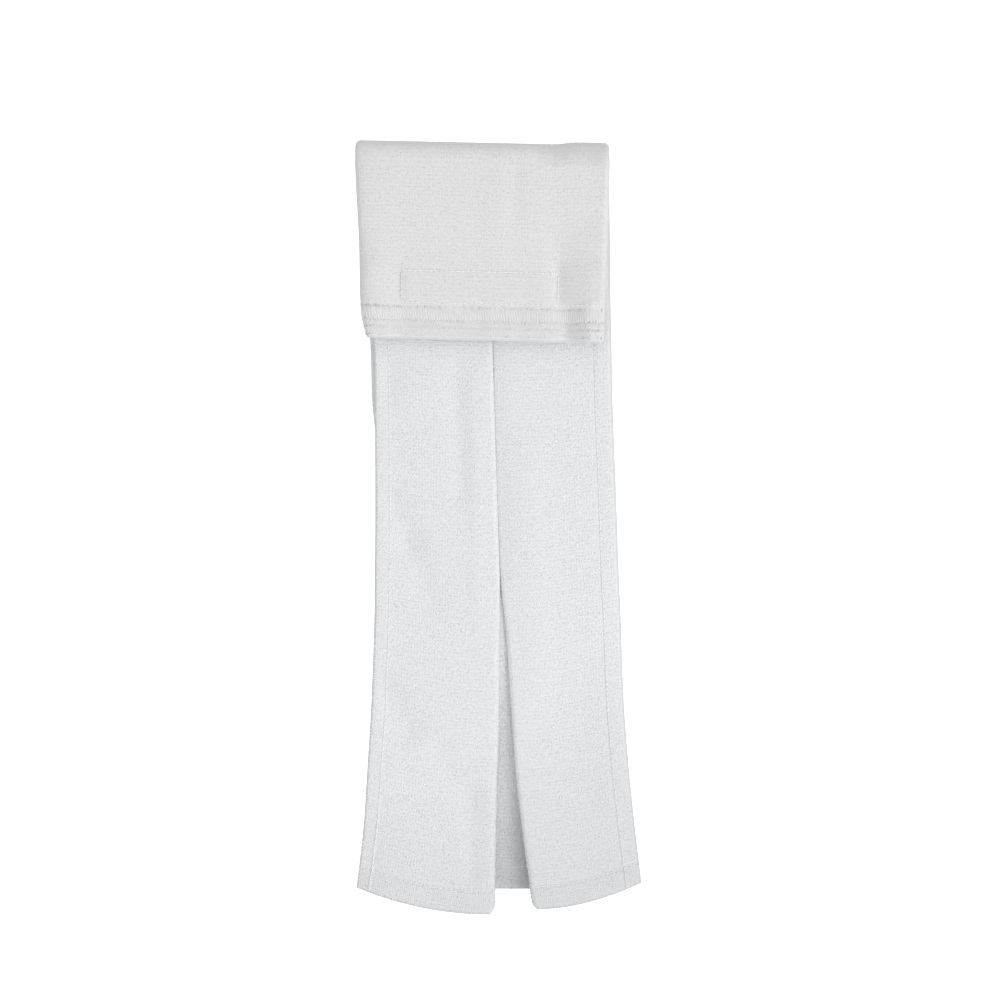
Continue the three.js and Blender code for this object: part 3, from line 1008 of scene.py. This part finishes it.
class YarnTree:
    """Geometry nodes that stand a short arch of yarn on each point of a mesh."""

    SIZES = ("Yarn Radius", "Arch Width", "Arch Height", "Sunk", "Lean", "Twist", "Size Spread")
    # How far out and up the arch's handles lie, in shares of its width and height.
    HANDLE = (0.62, 1.3)

    def __init__(self, name: str, sides: int, steps: int, finishes: Finishes) -> None:
        """Builds the tree.

        Args:
            name: Its name.
            sides: How many sides the yarn has.
            steps: How many steps its arch has.
            finishes: The towel's materials.
        """
        self.finishes = finishes
        self.tree = bpy.data.node_groups.new(name, "GeometryNodeTree")
        face = self.tree.interface
        for way in ("OUTPUT", "INPUT"):
            face.new_socket("Geometry", in_out=way, socket_type="NodeSocketGeometry")
        kinds = {**dict.fromkeys(self.SIZES, "Float"), "Seed": "Int", "Material": "Material"}
        self.sockets = {
            label: face.new_socket(label, in_out="INPUT", socket_type=f"NodeSocket{kind}").identifier
            for label, kind in kinds.items()
        }
        self._wire(sides, steps)

    def _out(self, kind: str, values: dict, output: int | str = 0, **settings: object) -> Socket:
        """Adds a node and gives one of its outputs."""
        return add_node(self.tree, kind, values, **settings).outputs[output]

    def _maths(self, operation: str, a: object, b: object) -> Socket:
        """The result of a maths node on two sockets or numbers."""
        return self._out("ShaderNodeMath", {0: a, 1: b}, operation=operation)

    def _point(self, x: Socket, x_share: float, z: Socket, z_share: float) -> Socket:
        """A vector from shares of two sockets as its x and z."""
        parts = {"X": self._maths("MULTIPLY", x, x_share), "Z": self._maths("MULTIPLY", z, z_share)}
        return self._out("ShaderNodeCombineXYZ", parts)

    def _kept(self, label: str, kind: str = "FLOAT_VECTOR") -> Socket:
        """What is kept on each point under a name."""
        return self._out("GeometryNodeInputNamedAttribute", {"Name": label}, "Attribute", data_type=kind)

    def _wire(self, sides: int, steps: int) -> None:
        """Joins the nodes: arch, its stand on each point, its random lean and size, and its material.

        Args:
            sides: How many sides the yarn has.
            steps: How many steps its arch has.
        """
        given = add_node(self.tree, "NodeGroupInput").outputs
        width, height, sunk = given["Arch Width"], given["Arch Height"], given["Sunk"]
        out, up = self.HANDLE
        arch = self._out("GeometryNodeCurvePrimitiveBezierSegment", {
            "Resolution": steps,
            "Start": self._point(width, -0.5, sunk, -1.0),
            "Start Handle": self._point(width, -out, height, up),
            "End Handle": self._point(width, out, height, up),
            "End": self._point(width, 0.5, sunk, -1.0),
        })
        circle = {"Resolution": sides, "Radius": given["Yarn Radius"]}
        ring = self._out("GeometryNodeCurvePrimitiveCircle", circle)
        yarn = self._out("GeometryNodeCurveToMesh", {"Curve": arch, "Profile Curve": ring, "Fill Caps": True})
        axes = {"Primary Axis": self._kept("stand"), "Secondary Axis": self._kept("facing")}
        stand = self._out("FunctionNodeAxesToRotation", axes, primary_axis="Z", secondary_axis="X")
        lean = {"X": given["Lean"], "Y": given["Lean"], "Z": given["Twist"]}
        most = self._out("ShaderNodeCombineXYZ", lean)
        least = self._out("ShaderNodeVectorMath", {0: most, "Scale": -1.0}, operation="SCALE")
        chance = {"Min": least, "Max": most, "Seed": given["Seed"]}
        spin = self._out("FunctionNodeRandomValue", chance, data_type="FLOAT_VECTOR")
        turn = self._out("FunctionNodeEulerToRotation", {"Euler": spin})
        turned = self._out("FunctionNodeRotateRotation", {"Rotation": stand, "Rotate By": turn},
                           rotation_space="LOCAL")
        small, large = (self._maths(way, 1.0, given["Size Spread"]) for way in ("SUBTRACT", "ADD"))
        size = self._out("FunctionNodeRandomValue", {2: small, 3: large, "Seed": given["Seed"]}, 1,
                         data_type="FLOAT")
        amount = self._maths("MULTIPLY", size, self._kept("size", "FLOAT"))
        copies = {"Points": given["Geometry"], "Instance": yarn, "Rotation": turned, "Scale": amount}
        shape = self._out("GeometryNodeInstanceOnPoints", copies)
        finish = {"Material": given["Material"]}
        for kind, values in (("RealizeInstances", {}), ("SetShadeSmooth", {}), ("SetMaterial", finish)):
            shape = self._out(f"GeometryNode{kind}", {"Geometry": shape, **values})
        add_node(self.tree, "NodeGroupOutput", {"Geometry": shape})

    def grow(self, name: str, parts: Sequence[Arches], yarn: Yarn, seed: int) -> Piece:
        """Makes one piece of yarn arches.

        Args:
            name: The piece's name.
            parts: Where the arches stand, in millimetres.
            yarn: Their yarn and sizes.
            seed: The seed of their lean and size.

        Returns:
            The piece, as a plain mesh.
        """
        arches = Arches(*(np.concatenate(values) for values in zip(*parts)))
        points = bpy.data.meshes.new(f"{name}_points")
        points.from_pydata((arches.place * MM).tolist(), [], [])
        for label, kind, slot in (("stand", "FLOAT_VECTOR", "vector"), ("facing", "FLOAT_VECTOR", "vector"),
                                  ("size", "FLOAT", "value")):
            values = getattr(arches, label).astype(np.float32).ravel()
            points.attributes.new(label, kind, "POINT").data.foreach_set(slot, values)
        carrier = placed(points.name, points)
        modifier = carrier.modifiers.new("yarn", "NODES")
        modifier.node_group = self.tree
        given = {**dict(zip(self.SIZES, yarn.sizes())), "Seed": seed, "Material": self.finishes[yarn.finish]}
        for label, value in given.items():
            modifier[self.sockets[label]] = value
        bpy.context.view_layer.update()
        evaluated = carrier.evaluated_get(bpy.context.evaluated_depsgraph_get())
        mesh = bpy.data.meshes.new_from_object(evaluated)
        carrier.modifiers.clear()
        bpy.data.objects.remove(carrier)
        mesh.name = name
        LOG.info("%s: %d arches, %d faces", name, len(arches.size), len(mesh.polygons))
        return placed(name, mesh)


@dataclass(frozen=True)
class Loops:
    """The pile's loops: their yarn, how far apart and how deep they stand, their size beside a seam, and how
    far they stray from their rows."""

    yarn: Yarn
    pitch: Pair
    deep: float
    by_seam: float = 0.62
    stray: float = 0.15


class PileField(NamedTuple):
    """A stretch of pile: the side and part of the cloth it grows on, its loops, and how steep it may be."""

    name: str
    side: int
    across: Pair
    along: Pair
    runs: tuple[Run, ...]
    seed: int
    loops: Loops
    least_up: float = -1.0


@dataclass
class Pile:
    """The loops of the terry on the faces of the cloth that can be seen, in stretches placed by their
    distances across and along it."""

    form: TowelForm
    tree: YarnTree
    panel: float = 72.0
    split: float = 0.45
    under_flap: float = 58.0
    gap: Pair = (120.0, 190.0)
    gap_stop: float = 130.0
    back: Pair = (92.0, 216.0)
    edges: Pair = (115.0, 190.0)
    flap_up: float = 0.4
    lowest: float = 0.35
    room: float = 1.5
    off_seam: float = 0.25
    from_seam: Fade = Fade(0.5, 2.5)
    gap_reach: float = 5.0
    gap_opening: Fade = Fade(-30.0, -60.0)
    gap_top: float = -25.0
    full: Loops = Loops(Yarn("loops", 0.41, 0.6, 0.1, 0.25, 0.35, 0.6, 0.18), (1.22, 1.42), 0.16, 0.85)
    inner: Loops = Loops(Yarn("inner_loops", 0.38, 0.6, 0.1, 0.25, 0.35, 0.6, 0.18), (1.22, 1.5), 0.13)
    hem: Loops = Loops(Yarn("loops", 0.35, 0.6, 0.08, 0.25, 0.25, 0.6, 0.18), (1.2, 1.4), 0.1, 0.9)
    reverse: Loops = Loops(Yarn("low_loops", 0.38, 0.7, 0.06, 0.25, 0.2, 0.5, 0.18), (1.22, 1.6), 0.19, 0.9)

    def stretches(self) -> list[PileField]:
        """The stretches of pile.

        Returns:
            A field for each front panel and its side hem, the back layer in the gap, the flap and the edges.
        """
        form = self.form
        # The small distances here keep loops off the edges of the cloth and off its seams.
        (left, right), low, width = form.side_hems, form.end_hem + 0.9, form.cloth_width
        middle, top = self.split * form.body_length, form.body_length - self.under_flap
        panel, (first, last), (left_edge, right_edge) = self.panel, self.back, self.edges
        low_end, face = 0.7, (form.body_length, form.length - form.band - 0.5)
        folds = (Run.FRONT, Run.FOLD, Run.RETURN)
        sides = (("left", (left + 0.5, panel), (0.9, left - 0.3), (0.9, panel)),
                 ("right", (width - panel, width - right - 0.5), (width - right + 0.4, width - 0.8),
                  (width - panel, width - 0.8)))
        found = []
        for seed, (name, full, hem, ends) in zip((11, 15), sides):
            parts = (("low", full, (low, middle), self.full),
                     ("high", full, (middle + 0.8, top), self.full),
                     ("side_hem", hem, (low - 0.6, top), self.hem),
                     ("low_hem", ends, (1.0, low - 1.3), self.hem))
            found += [PileField(f"pile_{name}_{part}", 1, across, along, folds, seed + i, loops)
                      for i, (part, across, along, loops) in enumerate(parts)]
        back, in_gap = (Run.BACK,), (low_end, self.gap_stop)
        found.append(PileField("pile_back_layer", 1, self.gap, in_gap, back, 23, self.inner))
        on_flap = (*back, Run.TUCK)
        found.append(PileField("pile_flap", -1, self.back, face, on_flap, 24, self.reverse, self.flap_up))
        for seed, name, across in ((25, "left", (first, left_edge)), (26, "right", (right_edge, last))):
            along = (low_end, form.body_length)
            found.append(PileField(f"pile_{name}_edge", -1, across, along, (Run.TUCK,), seed, self.reverse))
        return found

    def _kept(self, patch: PileField, at: Grids) -> Array:
        """Which loops of a field have room and lie on its runs.

        Args:
            patch: The field.
            at: The cloth's face at each loop.

        Returns:
            A grid of truths.
        """
        (x, y, z), up = np.moveaxis(at["place"], -1, 0), at["normal"][..., 2]
        kept = np.isin(at["run"], patch.runs) & (z + up * patch.loops.yarn.height > self.lowest)
        kept &= (up > patch.least_up) | (z < self.form.turn_radius)
        # A loop on a return hangs down towards the back layer and needs room there.
        if Run.RETURN in patch.runs:
            kept &= (at["run"] != Run.RETURN) | (z - 1.5 * self.form.thickness > self.room)
        if patch.runs == (Run.BACK,):
            left, right = (self.form.body.read(name, y) for name in ("fold_l", "fold_r"))
            reach = self.gap_reach * self.gap_opening.at(y)
            kept &= (x > left - reach) & (x < right + reach) & (y < self.gap_top)
        return kept

    def _off_seams(self, x: Array, across: Array, along: Array) -> Array:
        """How far the loops of a grid stand from the nearest line of stitching.

        Args:
            x: Their places across the towel.
            across: The grid's distances across the cloth.
            along: Its distances along the cloth.

        Returns:
            A grid of distances.
        """
        form = self.form
        above = form.length - form.band - along
        left, right = form.side_hems
        side = np.minimum(np.abs(across - left), np.abs(form.cloth_width - right - across))[None, :]
        end = np.minimum(np.abs(along - form.end_hem), np.abs(above))[:, None]
        return np.minimum(np.minimum(side, end), np.abs(form.patch.inside(x, above[:, None])))

    def arches(self, patch: PileField) -> Arches:
        """Where a field's loops stand.

        Args:
            patch: The field.

        Returns:
            Its loops, lower beside a seam.
        """
        loops = patch.loops
        rng = np.random.default_rng(patch.seed)
        across = np.arange(*patch.across, loops.pitch[0])
        along = np.arange(*patch.along, loops.pitch[1])
        at = self.form.sample(across, along, patch.side)
        kept = self._kept(patch, at)
        warp = unit(np.gradient(at["place"], axis=0))
        weft = unit(np.cross(warp, at["normal"]))
        stray = rng.normal(0.0, loops.stray, (*kept.shape, 2))
        shift = weft * stray[..., :1] * loops.pitch[0] + warp * stray[..., 1:] * loops.pitch[1]
        place = at["place"] + shift - at["normal"] * loops.deep
        seam = self._off_seams(at["place"][..., 0], across, along)
        kept &= seam > self.off_seam
        size = lerp(loops.by_seam, 1.0, self.from_seam.at(seam))
        return Arches(place[kept], at["normal"][kept], weft[kept], size[kept])

    def build(self) -> list[Piece]:
        """Grows every stretch of pile."""
        return [self.tree.grow(one.name, [self.arches(one)], one.loops.yarn, one.seed)
                for one in self.stretches()]


@dataclass
class Band:
    """The woven band at the flap's end: long ribs above, and short slanting ones below."""

    form: TowelForm
    tree: YarnTree
    ribs: Yarn = Yarn("band_yarn", 0.36, 6.9, 0.02, 0.1, 0.02, 0.05, 0.05)
    slants: Yarn = Yarn("band_yarn", 0.3, 4.6, 0.02, 0.1, 0.02, 0.05, 0.05)
    pitch: float = 1.06
    ribs_row: float = 4.85
    slant_rows: Pair = (8.75, 11.85)
    slant_turn: float = 0.72
    across: Pair = (92.0, 216.0)
    deep: float = 0.1
    least_up: float = 0.5
    DOWN = np.array([0.0, -1.0, 0.0])

    def _row(self, below: float, turn: float) -> Arches:
        """One row of ribs right across the flap, turned half-way from the warp to straight down the towel.

        Args:
            below: The row's distance below the band's stitching.
            turn: The angle of its ribs to the warp.

        Returns:
            The row's ribs.
        """
        row = self.form.length - self.form.band + below
        at = self.form.sample(np.arange(*self.across, self.pitch), row + np.array([-1.0, 0.0, 1.0]), -1)
        place, normal = at["place"], at["normal"][1]
        kept = np.isin(at["run"][1], (Run.BACK, Run.TUCK)) & (normal[:, 2] > self.least_up)
        warp = unit(unit(place[2] - place[0]) + self.DOWN)
        facing = warp * math.cos(turn) + np.cross(warp, normal) * math.sin(turn)
        on_face = place[1] - normal * self.deep
        return Arches(on_face[kept], normal[kept], facing[kept], np.ones(kept.sum()))

    def build(self) -> list[Piece]:
        """Weaves the band's long ribs and its slanting ones."""
        slants = [self._row(below, self.slant_turn) for below in self.slant_rows]
        return [self.tree.grow("band_ribs", [self._row(self.ribs_row, 0.0)], self.ribs, 41),
                self.tree.grow("band_slants", slants, self.slants, 42)]


class Seam(NamedTuple):
    """A line of stitching on one side of the cloth, from one place on it to another."""

    start: Pair
    end: Pair
    side: int


@dataclass
class Stitching:
    """The lockstitches of the hems and of the tape's rectangle."""

    form: TowelForm
    tree: YarnTree
    thread: Yarn = Yarn("thread", 0.3, 1.9, 0.2, 0.25, 0.04, 0.06, 0.04)
    pitch: float = 2.1
    band_ends: Pair = (-52.5, 42.5)
    low_reach: float = 54.0
    gap: Pair = (140.0, 176.0)
    under_flap: float = 55.0
    inset: float = 1.0
    from_edge: float = 0.8

    def seams(self) -> list[Seam]:
        """Every line of stitching that can be seen.

        Returns:
            The seams, on the cloth's own measures.
        """
        form, patch = self.form, self.form.patch
        width, low, high = form.cloth_width, form.end_hem, form.length - form.band
        top, hem_top, inset = high - patch.height, form.body_length - self.under_flap, self.inset
        left, right = (form.across_of(x, high - patch.height / 2) for x in (patch.left, patch.right))
        start, end = (form.across_of(x, high) for x in self.band_ends)
        sides = (form.side_hems[0], width - form.side_hems[1])
        reach, edge = self.low_reach, self.from_edge
        ends = ((edge, reach), (width - reach, width - edge), self.gap)
        return [
            *(Seam((x, inset), (x, hem_top), 1) for x in sides),
            *(Seam((first, low), (last, low), 1) for first, last in ends),
            Seam((start, high), (end, high), -1),
            Seam((left, top), (right, top), -1),
            *(Seam((x, top + inset), (x, high - inset), -1) for x in (left, right)),
        ]

    def _stitches(self, seam: Seam) -> Arches:
        """Where the stitches of a seam lie.

        Args:
            seam: The seam.

        Returns:
            The seam's stitches.
        """
        (u0, v0), (u1, v1) = seam.start, seam.end
        count = max(int(math.hypot(u1 - u0, v1 - v0) / self.pitch), 2)
        shares = (np.arange(count) + 0.5) / count
        across, along = lerp(u0, u1, shares), lerp(v0, v1, shares)
        level = v0 == v1
        at = self.form.sample(across if level else across[:1], along[:1] if level else along, seam.side)
        place, stand = (at[name].reshape(-1, 3) for name in ("place", "normal"))
        return Arches(place, stand, np.gradient(place, axis=0), np.ones(count))

    def build(self) -> list[Piece]:
        """Sews every seam, as one piece."""
        stitches = [self._stitches(seam) for seam in self.seams()]
        return [self.tree.grow("hem_stitching", stitches, self.thread, 31)]


@dataclass(frozen=True)
class Lamp:
    """A soft square lamp that shines at the towel: its place and side in millimetres, and its watts."""

    name: str
    place: tuple[float, float, float]
    size: float
    power: float

    def build(self) -> None:
        """Hangs the lamp."""
        data = bpy.data.lights.new(self.name, "AREA")
        data.shape, data.size, data.energy = "SQUARE", self.size * MM, self.power
        lamp = placed(self.name, data)
        lamp.visible_camera = False
        lamp.location = Vector(self.place) * MM
        lamp.rotation_euler = (-lamp.location).to_track_quat("-Z", "Y").to_euler()


@dataclass
class Studio:
    """The floor, the lights and the camera. Evenness is the strength of the light from all around."""

    centre: Pair = (0.6, 11.2)
    seen_width: float = 406.0
    seen_level: float = 8.0
    distance: float = 2000.0
    sensor: float = 36.0
    floor_size: float = 6000.0
    floor_level: float = -0.1
    floor_glow: float = 0.8
    evenness: float = 0.628
    key: Lamp = Lamp("key", (955.0, -510.0, 1015.0), 900.0, 7.2)
    dome: Lamp = Lamp("dome", (60.0, 60.0, 1300.0), 2000.0, 5.0)

    def _floor(self) -> None:
        """Makes the plain pale floor, which throws no light back at the towel."""
        half, level = self.floor_size / 2 * MM, self.floor_level * MM
        corners = [(x * half, y * half, level) for x, y in ((-1, -1), (1, -1), (1, 1), (-1, 1))]
        mesh = mesh_of("floor", np.array(corners), np.array([[0, 1, 2, 3]]))
        shader = Shader("pale_floor")
        shader.set(base_color=(0.97, 0.97, 0.97, 1.0), roughness=0.9, specular_ior_level=0.1)
        shader.set(emission_color=(1.0, 1.0, 1.0, 1.0), emission_strength=self.floor_glow)
        mesh.materials.append(shader.material)
        floor = placed(mesh.name, mesh)
        floor.visible_diffuse = False
        floor.visible_glossy = False

    def _camera(self) -> None:
        """Hangs the camera straight above the towel."""
        data = bpy.data.cameras.new("camera")
        data.sensor_width = self.sensor
        data.lens = self.sensor * self.distance / self.seen_width
        data.clip_end = 50.0
        camera = placed("camera", data)
        camera.location = Vector((*self.centre, self.seen_level + self.distance)) * MM
        bpy.context.scene.camera = camera

    def build(self) -> None:
        """Sets up the studio."""
        self._floor()
        self._camera()
        self.key.build()
        self.dome.build()
        world = bpy.data.worlds.new("studio")
        world.use_nodes = True
        sky = world.node_tree.nodes["Background"].inputs
        sky["Color"].default_value = (1.0, 1.0, 1.0, 1.0)
        sky["Strength"].default_value = self.evenness
        bpy.context.scene.world = world
        bpy.context.scene.view_settings.view_transform = "Standard"


def main() -> None:
    """Builds the towel and its studio, and says what stands for what."""
    logging.basicConfig(level=logging.INFO, format="%(name)s: %(message)s")
    Studio().build()
    form, finishes = TowelForm(), Finishes()
    cloth = ClothMesh(form, finishes).build()
    pile = Pile(form, YarnTree("pile_loops", 4, 3, finishes)).build()
    band = Band(form, YarnTree("band_weave", 4, 3, finishes)).build()
    sewing = Stitching(form, YarnTree("lockstitches", 5, 6, finishes)).build()
    tape = frame["nodes"]["hook_tape"]
    for slot in tape.material_slots:
        slot.material = finishes["tape"]
    for piece in (cloth, *pile, *band, *sewing):
        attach(piece, "root" if "root" in frame["bodies"] else next(iter(frame["bodies"])))
    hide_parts("towel")


if __name__ == "__main__":
    main()
